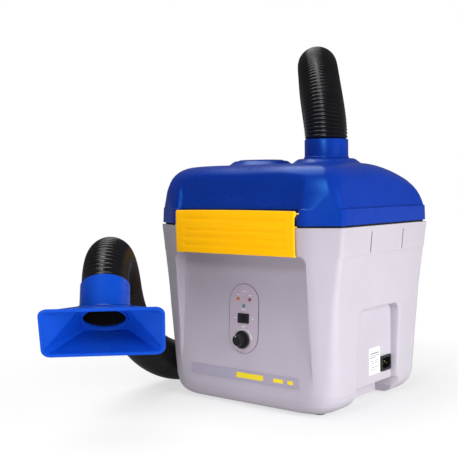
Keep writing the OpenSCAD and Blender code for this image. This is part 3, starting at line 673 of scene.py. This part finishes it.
def hose(name, rows, first):
    """A corrugated tube through rows; each row keeps the rib phase it has along the whole hose."""
    outer, inner, faces = [], [], []
    for k, (p, f) in enumerate(rows):
        for r, into in ((rib_radius(k + first), outer), (INSIDE_R, inner)):
            for i in range(AROUND):
                a = 2 * math.pi * i / AROUND
                into.append(tuple(p + r * (math.cos(a) * f[:, 0] + math.sin(a) * f[:, 1])))
    n, rows_n = AROUND, len(rows)
    base = len(outer)
    for k in range(rows_n - 1):
        for i in range(n):
            j = (i + 1) % n
            faces.append((k * n + i, k * n + j, (k + 1) * n + j, (k + 1) * n + i))
            if k % PER_RIB == 0:
                q = min(k + PER_RIB, rows_n - 1)
                faces.append((base + k * n + j, base + k * n + i, base + q * n + i, base + q * n + j))
    last = (rows_n - 1) * n
    for i in range(n):
        j = (i + 1) % n
        faces.append((i, base + i, base + j, j))
        faces.append((last + j, base + last + j, base + last + i, last + i))
    ob = make(name, outer + inner, faces)
    bm = bmesh.new()
    bm.from_mesh(ob.data)
    bmesh.ops.delete(bm, geom=[v for v in bm.verts if not v.link_faces], context="VERTS")
    bmesh.ops.recalc_face_normals(bm, faces=bm.faces)
    bm.to_mesh(ob.data)
    bm.free()
    return smooth(ob, 180)


def build_hose():
    """Points along the whole duct, and how many of them belong to the arch."""
    along = math.atan2(DROP[1], DROP[0] - PORT_X)
    straight = math.hypot(DROP[0] - PORT_X, DROP[1]) - 280
    c, s = math.cos(along), math.sin(along)
    over = [[0, 0, 140, 90], [straight, 0, 140, 90], [ARCH - SPLIT, 0, 0, 0]]
    rows, _, _ = walk(over, (PORT_X, 0, ARCH), np.array([[c, -s, 0], [s, c, 0], [0, 0, 1]]), STEP)
    # the arch leans to the left of the view as it rises, and is a little lower than its bends
    side = np.array([-math.cos(LOOK), -math.sin(LOOK), 0])
    arch = []
    for q, f in rows:
        u = min(1, max(0, (q[2] - ARCH) / 140))
        q = np.array([q[0], q[1], q[2] - 0.045 * max(0.0, q[2] - ARCH)])
        arch.append((q + side * 12 * u * u * (3 - 2 * u), f))
    low, _, _ = walk(RUN + [[49.6, 0, 0, 0]], (*DROP, SPLIT), DOWN, STEP, arch[-1][1])
    return arch + low[1:], len(arch)


def cut_rows(rows, at, start):
    """Index of the rib valley nearest the point at, from index start on."""
    best, where = 1e9, start
    for k in range(start, len(rows)):
        if k % PER_RIB == 0:
            d = float(np.linalg.norm(rows[k][0] - np.array(at)))
            if d < best:
                best, where = d, k
    return where


# ---------------------------------------------------------------- nozzle

def nozzle_frame():
    _, p, m = walk(RUN + [[52.6, 0, 0, 0]], (*DROP, SPLIT), DOWN, 5)
    a = math.radians(82.5)
    m = m @ np.array([[math.cos(a), -math.sin(a), 0], [math.sin(a), math.cos(a), 0], [0, 0, 1]])
    return Matrix([list(m[i]) + [p[i] * MM] for i in range(3)] + [[0, 0, 0, 1]])


def rect_loop(w, h, r, to, n=6):
    """Rounded rectangle; to maps (x, y) onto space. The corners come in the order ++, -+, --, +-."""
    loop = []
    for sx, sy, a0 in ((1, 1, 0), (-1, 1, 90), (-1, -1, 180), (1, -1, 270)):
        for k in range(n + 1):
            a = math.radians(a0 + 90 * k / n)
            loop.append(to(sx * (w / 2 - r) + r * math.cos(a), sy * (h / 2 - r) + r * math.sin(a)))
    return loop


def build_nozzle():
    """Square base on a round cuff, flaring to a wide flat mouth that leans on its axis."""
    tilt = math.radians(-27.6)

    def mouth(z):
        return lambda x, y: (x, 30.5 + y * math.cos(tilt) - z * math.sin(tilt),
                             39 + y * math.sin(tilt) + z * math.cos(tilt))

    def flat(z):
        return lambda x, y: (x, y, z)

    n = 6
    outer = [rect_loop(71, 71, 6, flat(0.0), n), rect_loop(71, 71, 6, flat(1.0), n),
             rect_loop(164, 73.4, 10, mouth(0.0), n),
             rect_loop(168.4, 77.8, 12, mouth(0.3), n), rect_loop(169, 78.4, 12, mouth(1.0), n),
             rect_loop(168.4, 77.8, 12, mouth(1.9), n), rect_loop(164.5, 73.9, 10, mouth(2.3), n)]
    inner = [rect_loop(159.6, 69.0, 8, mouth(1.9), n), rect_loop(158.8, 68.2, 8, mouth(0.8), n),
             rect_loop(66, 66, 4, flat(3.2), n), rect_loop(65, 65, 4, flat(2.2), n)]
    loops = outer + inner
    m = len(loops[0])
    verts = [p for loop in loops for p in loop]
    faces = []
    for k in range(len(loops) - 1):
        for i in range(m):
            j = (i + 1) % m
            a, b, c, d = k * m + i, k * m + j, (k + 1) * m + j, (k + 1) * m + i
            if i % (n + 1) == n:
                # a wall between two corners; the side walls fold along one diagonal
                back = k >= len(outer)
                if i // (n + 1) == (3 if back else 1):
                    faces += [(a, b, c), (a, c, d)]
                elif i // (n + 1) == (1 if back else 3):
                    faces += [(b, c, d), (b, d, a)]
                else:
                    faces.append((a, b, c, d))
            else:
                faces.append((a, b, c, d))
    hood = outward(make("hood", verts, faces))
    plate = loft("plate", [rect_loop(71, 71, 6, flat(0.0), n), rect_loop(71, 71, 6, flat(2.8), n)])
    cut(plate, lathe("bore", plug_profile(30.4, -5, 8)))
    cuff = lathe("cuff", [(34.6, -50), (35.0, -49.6), (35.5, -49), (35.5, -1.5), (36.4, -0.2), (36.8, 0.6),
                          (33.6, 0.6), (33.4, -2.6), (33.4, -48.6), (33.9, -50)], None, 96)
    ring = lathe("ring", [(30.4, 0.4), (33.4, 0.4), (33.4, 4.0), (32.8, 4.7), (31.2, 4.7), (30.4, 4.0)],
                 None, 96)
    ob = merge(make("nozzle_hood", [], []), hood, plate, cuff, ring)
    ob.data.transform(nozzle_frame())
    return smooth(ob, 9)


# ---------------------------------------------------------------- small parts

KNOB_Z = 105


def build_knob():
    """Base disc and a fluted grip that narrows towards its face."""
    prof = [(3.05, 3.6), (7.2, 3.6), (7.2, 3.6), (13.5, 3.6), (14.0, 4.0), (14.0, 5.2), (13.4, 5.8),
            (10.2, 6.2), (3.05, 6.2)]
    ob = lathe("knob_disc", prof, on_panel(KNOB_Z), 72)
    n, loops = 96, []
    for z, r in ((6.0, 9.9), (7.0, 9.7), (16.0, 8.9), (17.0, 8.6), (17.7, 7.8)):
        loop = []
        for i in range(n):
            a = 2 * math.pi * i / n
            f = 1 - 0.045 * (0.5 + 0.5 * math.cos(16 * a)) * (1 if z < 17 else 0.3)
            loop.append((r * f * math.cos(a), r * f * math.sin(a), z))
        loops.append(loop)
    grip = loft("knob_grip", loops)
    grip.data.transform(on_panel(KNOB_Z))
    return smooth(merge(ob, grip), 32)


def disc(name, r, h, at, n=24):
    return lathe(name, [(0.0001, 0), (r, 0), (r * 0.98, h), (0.0001, h)], at, n)


def bar(name, w, h, t, at, r=0.4):
    ob = loft(name, [rect_loop(w, h, min(r, h / 2.1), lambda x, y, z=z: (x, y, z), 3) for z in (0, t)])
    ob.data.transform(at)
    return ob


def arc_print(name, r0, r1, a0, a1, at):
    """Printed arc from angle a0 to a1 that widens from nothing at r0 to r1."""
    n, loops = 28, []
    for z in (0.0, 0.12):
        outer = []
        inner = []
        for k in range(n + 1):
            u = k / n
            a = math.radians(a0 + (a1 - a0) * u)
            w = r0 + (r1 - r0) * u
            outer.append((w * math.cos(a), w * math.sin(a), z))
            inner.append((r0 * math.cos(a), r0 * math.sin(a), z))
        loops.append(outer + inner[::-1])
    ob = loft(name, loops)
    ob.data.transform(at)
    return ob


def build_fleece():
    """A lofted fibre mat: uneven top and bottom, pinched and rounded along its edges."""
    lo, hi = (np.array(c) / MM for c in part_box("pre_filter"))
    mid, half = (lo + hi) / 2, (hi - lo) / 2
    across, along = 96, 76
    verts, faces = [], []
    for sign in (1, -1):
        for i in range(across + 1):
            for j in range(along + 1):
                u, v = 2 * i / across - 1, 2 * j / along - 1
                edge = max(abs(u), abs(v))
                round_off = math.sqrt(max(0.0, 1 - max(0.0, (edge - 0.95) / 0.05) ** 2))
                wave = (math.sin(9.1 * u + 3.3 * v) + math.sin(15.7 * v - 6.1 * u)
                        + 0.6 * math.sin(31 * u * v + 5 * u))
                lift = half[2] * (0.30 + 0.62 * round_off) + 0.22 * wave * round_off
                verts.append((mid[0] + u * half[0] * 0.998, mid[1] + v * half[1] * 0.998,
                              mid[2] + sign * min(lift, half[2])))
    row, layer = along + 1, (across + 1) * (along + 1)
    for side in (0, layer):
        for i in range(across):
            for j in range(along):
                q = side + i * row + j
                faces.append((q, q + row, q + row + 1, q + 1))
    rim = [i * row for i in range(across)] + [across * row + j for j in range(along)]
    rim += [i * row + along for i in range(across, 0, -1)] + [j for j in range(along, 0, -1)]
    for k, q in enumerate(rim):
        n = rim[(k + 1) % len(rim)]
        faces.append((q, n, n + layer, q + layer))
    return smooth(outward(make("fleece_mat", verts, faces)), 50)


# ---------------------------------------------------------------- assembly

finish_piece(build_cabinet(), "cabinet", GREY, "grey_shell", "body_shell")
finish_piece(build_lid(), "lid", BLUE, "blue_plastic", "lid_shell")
finish_piece(latch_mesh("front_clasp", -1), "front_latch", YELLOW, "yellow_plastic", "front_latch")
finish_piece(latch_mesh("rear_clasp", 1), "rear_latch", YELLOW, "yellow_plastic", "rear_latch")

collar = lathe("hose_collar",
               [(28.5, 368), (31.3, 368), (31.3, 385.2), (35.6, 385.2), (36.2, 385.9), (36.0, 387.5),
                (35.0, 388.5), (35.0, 414.8), (34.6, 415.7), (33.8, 416), (28.5, 416)],
               spot(PORT_X, 0, 0), 96)
finish_piece(collar, "collar", BLUE, "blue_plastic", "duct_collar")
cap = lathe("blank_cap",
            [(0.0001, 385.1), (38.0, 385.1), (38.2, 385.5), (37.6, 386.1), (36.4, 386.4), (0.0001, 386.6)],
            spot(-PORT_X, 0, 0), 96)
plug = lathe("plug", [(28.0, 374), (31.2, 374), (31.2, 385.6), (28.0, 385.6)], spot(-PORT_X, 0, 0), 96)
finish_piece(smooth(merge(cap, plug), 30), "port_cap", BLUE, "blue_plastic", "port_cap")

finish_piece(build_fleece(), "cabinet", FLEECE, "filter_fleece", "pre_filter")

rows, joint_row = build_hose()
# anchors of the swing and tilt joints, mm; the middle drawn length ends halfway between them
SWING_AT = (-185.35, -204.66, 130.72)
TILT_AT = (-179.36, -225.60, 175.96)
floor_cut = cut_rows(rows, (-197.9, 40.0, 34.0), joint_row)
link_cut = cut_rows(rows, tuple((a + b) / 2 for a, b in zip(SWING_AT, TILT_AT)), floor_cut)
h1 = hose("hose_supply", rows[:floor_cut + 1], 0)
h2 = hose("hose_rise", rows[floor_cut:link_cut + 1], floor_cut)
h3 = hose("hose_crook", rows[link_cut:], link_cut)
for h, nodes in ((h1, ("duct_upper",)), (h2, ("duct_lower", "duct_link")), (h3, ("duct_arm",))):
    paint(h, HOSE)
    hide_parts(*nodes)
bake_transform(h1)
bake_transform(h2)
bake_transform(h3)

# the nozzle takes the lighter copy of the blue plastic: painted light
finish_piece(build_nozzle(), "nozzle", BLUE_PAINTED_LIGHTER, "blue_plastic", "nozzle")
finish_piece(build_knob(), "knob", BLACK, "black_plastic", "speed_knob")
mark = math.radians(110)
mark_at = on_panel(KNOB_Z, 0, 17.68) @ spot(6.2 * math.cos(mark), 6.2 * math.sin(mark), 0)
finish_piece(disc("knob_mark", 1.0, 0.15, mark_at), "knob", PRINT, "overlay")

# printed marks on the control film: its dark outline, plain dots, ticks and one swelling arc
film = 0.82
edge = on_panel(137.5, 0, 0.1)
pill = [rect_loop(w, h, w / 2 - 0.01, lambda x, y, z=z: (x, y, z), 12)
        for w, h, z in ((55.8, 106.8, 0.0), (57.4, 108.4, 0.0), (57.4, 108.4, 0.7), (55.8, 106.8, 0.7))]
count = len(pill[0])
outline = outward(make("film_outline", [q for loop in pill for q in loop],
                       [(k * count + i, k * count + (i + 1) % count, (k + 1) % 4 * count + (i + 1) % count,
                         (k + 1) % 4 * count + i) for k in range(4) for i in range(count)]))
outline.data.transform(edge)
finish_piece(smooth(outline, 30), "cabinet", PRINT_DARK, "overlay")
for k, a in enumerate((205, 165, 128, 92, 56)):
    q = math.radians(a)
    at = on_panel(KNOB_Z, 0, film) @ spot(18.6 * math.cos(q), 18.6 * math.sin(q), 0)
    finish_piece(disc("dial_dot_%d" % k, 0.9, 0.12, at, 16), "cabinet", PRINT, "overlay")
arc = arc_print("dial_arc", 15.2, 18.0, 150, 5, on_panel(KNOB_Z, 0, film))
finish_piece(arc, "cabinet", PRINT, "overlay")
for name, w, h, x, z in (("left", 5.0, 1.0, -16.4, 138), ("right", 5.0, 1.0, 16.6, 138),
                         ("flow", 9.0, 1.1, 0, 125.5), ("power", 9.0, 1.1, 0, 151.3),
                         ("a", 6.5, 1.0, -11.2, 173.8), ("b", 6.5, 1.0, 11.2, 173.8),
                         ("top", 10.0, 1.1, 0, 179.5)):
    finish_piece(bar("tick_" + name, w, h, 0.12, on_panel(z, x, film)), "cabinet", PRINT, "overlay")
for k, (x, w) in enumerate(((14, 52), (68, 18), (90, 10))):
    finish_piece(bar("strip_mark_%d" % k, w, 8.4 - 2.4 * min(k, 1), 0.12, on_panel(49.7, x, 0.64), 1.2),
                 "cabinet", PRINT_YELLOW, "overlay")
side = spot(147.45, 8, 65) @ Matrix.Rotation(math.pi / 2, 4, "Z") @ Matrix.Rotation(math.pi / 2, 4, "X")
for k, (x, y, w, h) in enumerate(((0, 12, 26, 1.6), (0, 8.5, 28, 1.0), (-4, 5.5, 19, 1.0), (-7, 0, 12, 0.9),
                                  (7, 0, 11, 0.9), (-7, -3.5, 11, 0.9), (7, -3.5, 12, 0.9),
                                  (0, -10, 27, 0.9), (-4, -13.5, 18, 0.9))):
    finish_piece(bar("label_line_%d" % k, w, h, 0.06, side @ spot(x, y, 0)), "cabinet", PRINT_DARK, "label")

# ---------------------------------------------------------------- floor, light, camera

WIDE = 9000
floor = make("floor", [(-WIDE, -WIDE, 0), (WIDE, -WIDE, 0), (WIDE, WIDE, 0), (-WIDE, WIDE, 0)], [(0, 1, 2, 3)])
pale = surface("floor_pale", (0.93, 0.93, 0.935), 0.75, grain=60, bump=0.0, vary=0.004, spec=0.1)
nt = pale.node_tree
here = nt.nodes.new("ShaderNodeTexCoord").outputs["Object"]
away = nt.nodes.new("ShaderNodeVectorMath")
away.operation = "LENGTH"
nt.links.new(here, away.inputs[0])
white = nt.nodes.new("ShaderNodeEmission")
seen = nt.nodes.new("ShaderNodeLightPath").outputs["Is Camera Ray"]
nt.links.new(spread(nt, seen, 0.35, 1.0, 0, 1), white.inputs["Strength"])
fade = nt.nodes.new("ShaderNodeMixShader")
nt.links.new(spread(nt, away.outputs["Value"], 0.62, 1, 0.20, 0.60), fade.inputs[0])
nt.links.new(nt.nodes["Principled BSDF"].outputs[0], fade.inputs[1])
nt.links.new(white.outputs[0], fade.inputs[2])
nt.links.new(fade.outputs[0], nt.nodes["Material Output"].inputs["Surface"])
paint(floor, pale)

# the backdrop is white to the camera, soft to matt surfaces and dim in reflections
world = bpy.data.worlds.new("studio")
scene.world = world
world.use_nodes = True
wt = world.node_tree
rays = wt.nodes.new("ShaderNodeLightPath")


def glow(strength):
    n = wt.nodes.new("ShaderNodeBackground")
    n.inputs["Color"].default_value = (1, 1, 1, 1)
    n.inputs["Strength"].default_value = strength
    return n.outputs[0]


def either(fac, first, second):
    n = wt.nodes.new("ShaderNodeMixShader")
    wt.links.new(fac, n.inputs[0])
    wt.links.new(first, n.inputs[1])
    wt.links.new(second, n.inputs[2])
    return n.outputs[0]


sky = either(rays.outputs["Is Glossy Ray"], glow(0.12), glow(0.15))
sky = either(rays.outputs["Is Camera Ray"], sky, glow(1.0))
wt.links.new(sky, wt.nodes["World Output"].inputs["Surface"])


def softbox(name, at, target, size, power, color=(1, 1, 1), matt=True, shine=True):
    li = bpy.data.lights.new(name, "AREA")
    li.shape = "RECTANGLE"
    li.size, li.size_y = size
    li.energy = power
    li.color = color
    ob = bpy.data.objects.new(name, li)
    scene.collection.objects.link(ob)
    ob.location = at
    ob.rotation_euler = (Vector(target) - Vector(at)).to_track_quat("-Z", "Y").to_euler()
    ob.visible_camera = False
    ob.visible_diffuse = matt
    ob.visible_glossy = shine


softbox("right", (2.2, -0.2, 0.75), (0, 0, 0.15), (1.4, 1.2), 40, shine=False)
softbox("front", (0.5, -2.1, 1.7), (0, 0, 0.2), (0.7, 0.7), 13, (1.0, 0.94, 1.02))
softbox("top", (-0.6, -0.05, 2.2), (-0.05, 0, 0.3), (2.0, 1.2), 32)
softbox("sparkle", (0.80, -1.9, 1.25), (0, 0, 0.4), (0.4, 1.0), 16, matt=False)
softbox("bounce_right", (0.62, -0.05, 0.03), (0.15, 0, 0.12), (0.5, 0.3), 2.6, shine=False)
softbox("bounce_front", (0.1, -0.62, 0.03), (0, -0.15, 0.10), (0.5, 0.3), 1.8, (1.0, 0.94, 1.02), shine=False)

eye = Vector((0.8130, -1.1713, 0.3420))
az, el, roll = LOOK, math.radians(2.84), math.radians(-0.71)
# the camera's axes: forward, then right and up turned by the roll
forward = Vector((-math.sin(az) * math.cos(el), math.cos(az) * math.cos(el), -math.sin(el)))
right = Vector((math.cos(az), math.sin(az), 0))
up = right.cross(forward)
r2 = right * math.cos(roll) + up * math.sin(roll)
u2 = -right * math.sin(roll) + up * math.cos(roll)
cam = bpy.data.cameras.new("camera")
cam.sensor_width = 36
cam.lens = 67.134
camera = bpy.data.objects.new("camera", cam)
scene.collection.objects.link(camera)
camera.matrix_world = Matrix([[r2[i], u2[i], -forward[i], eye[i]] for i in range(3)] + [[0, 0, 0, 1]])
scene.camera = camera
scene.view_settings.view_transform = "Standard"
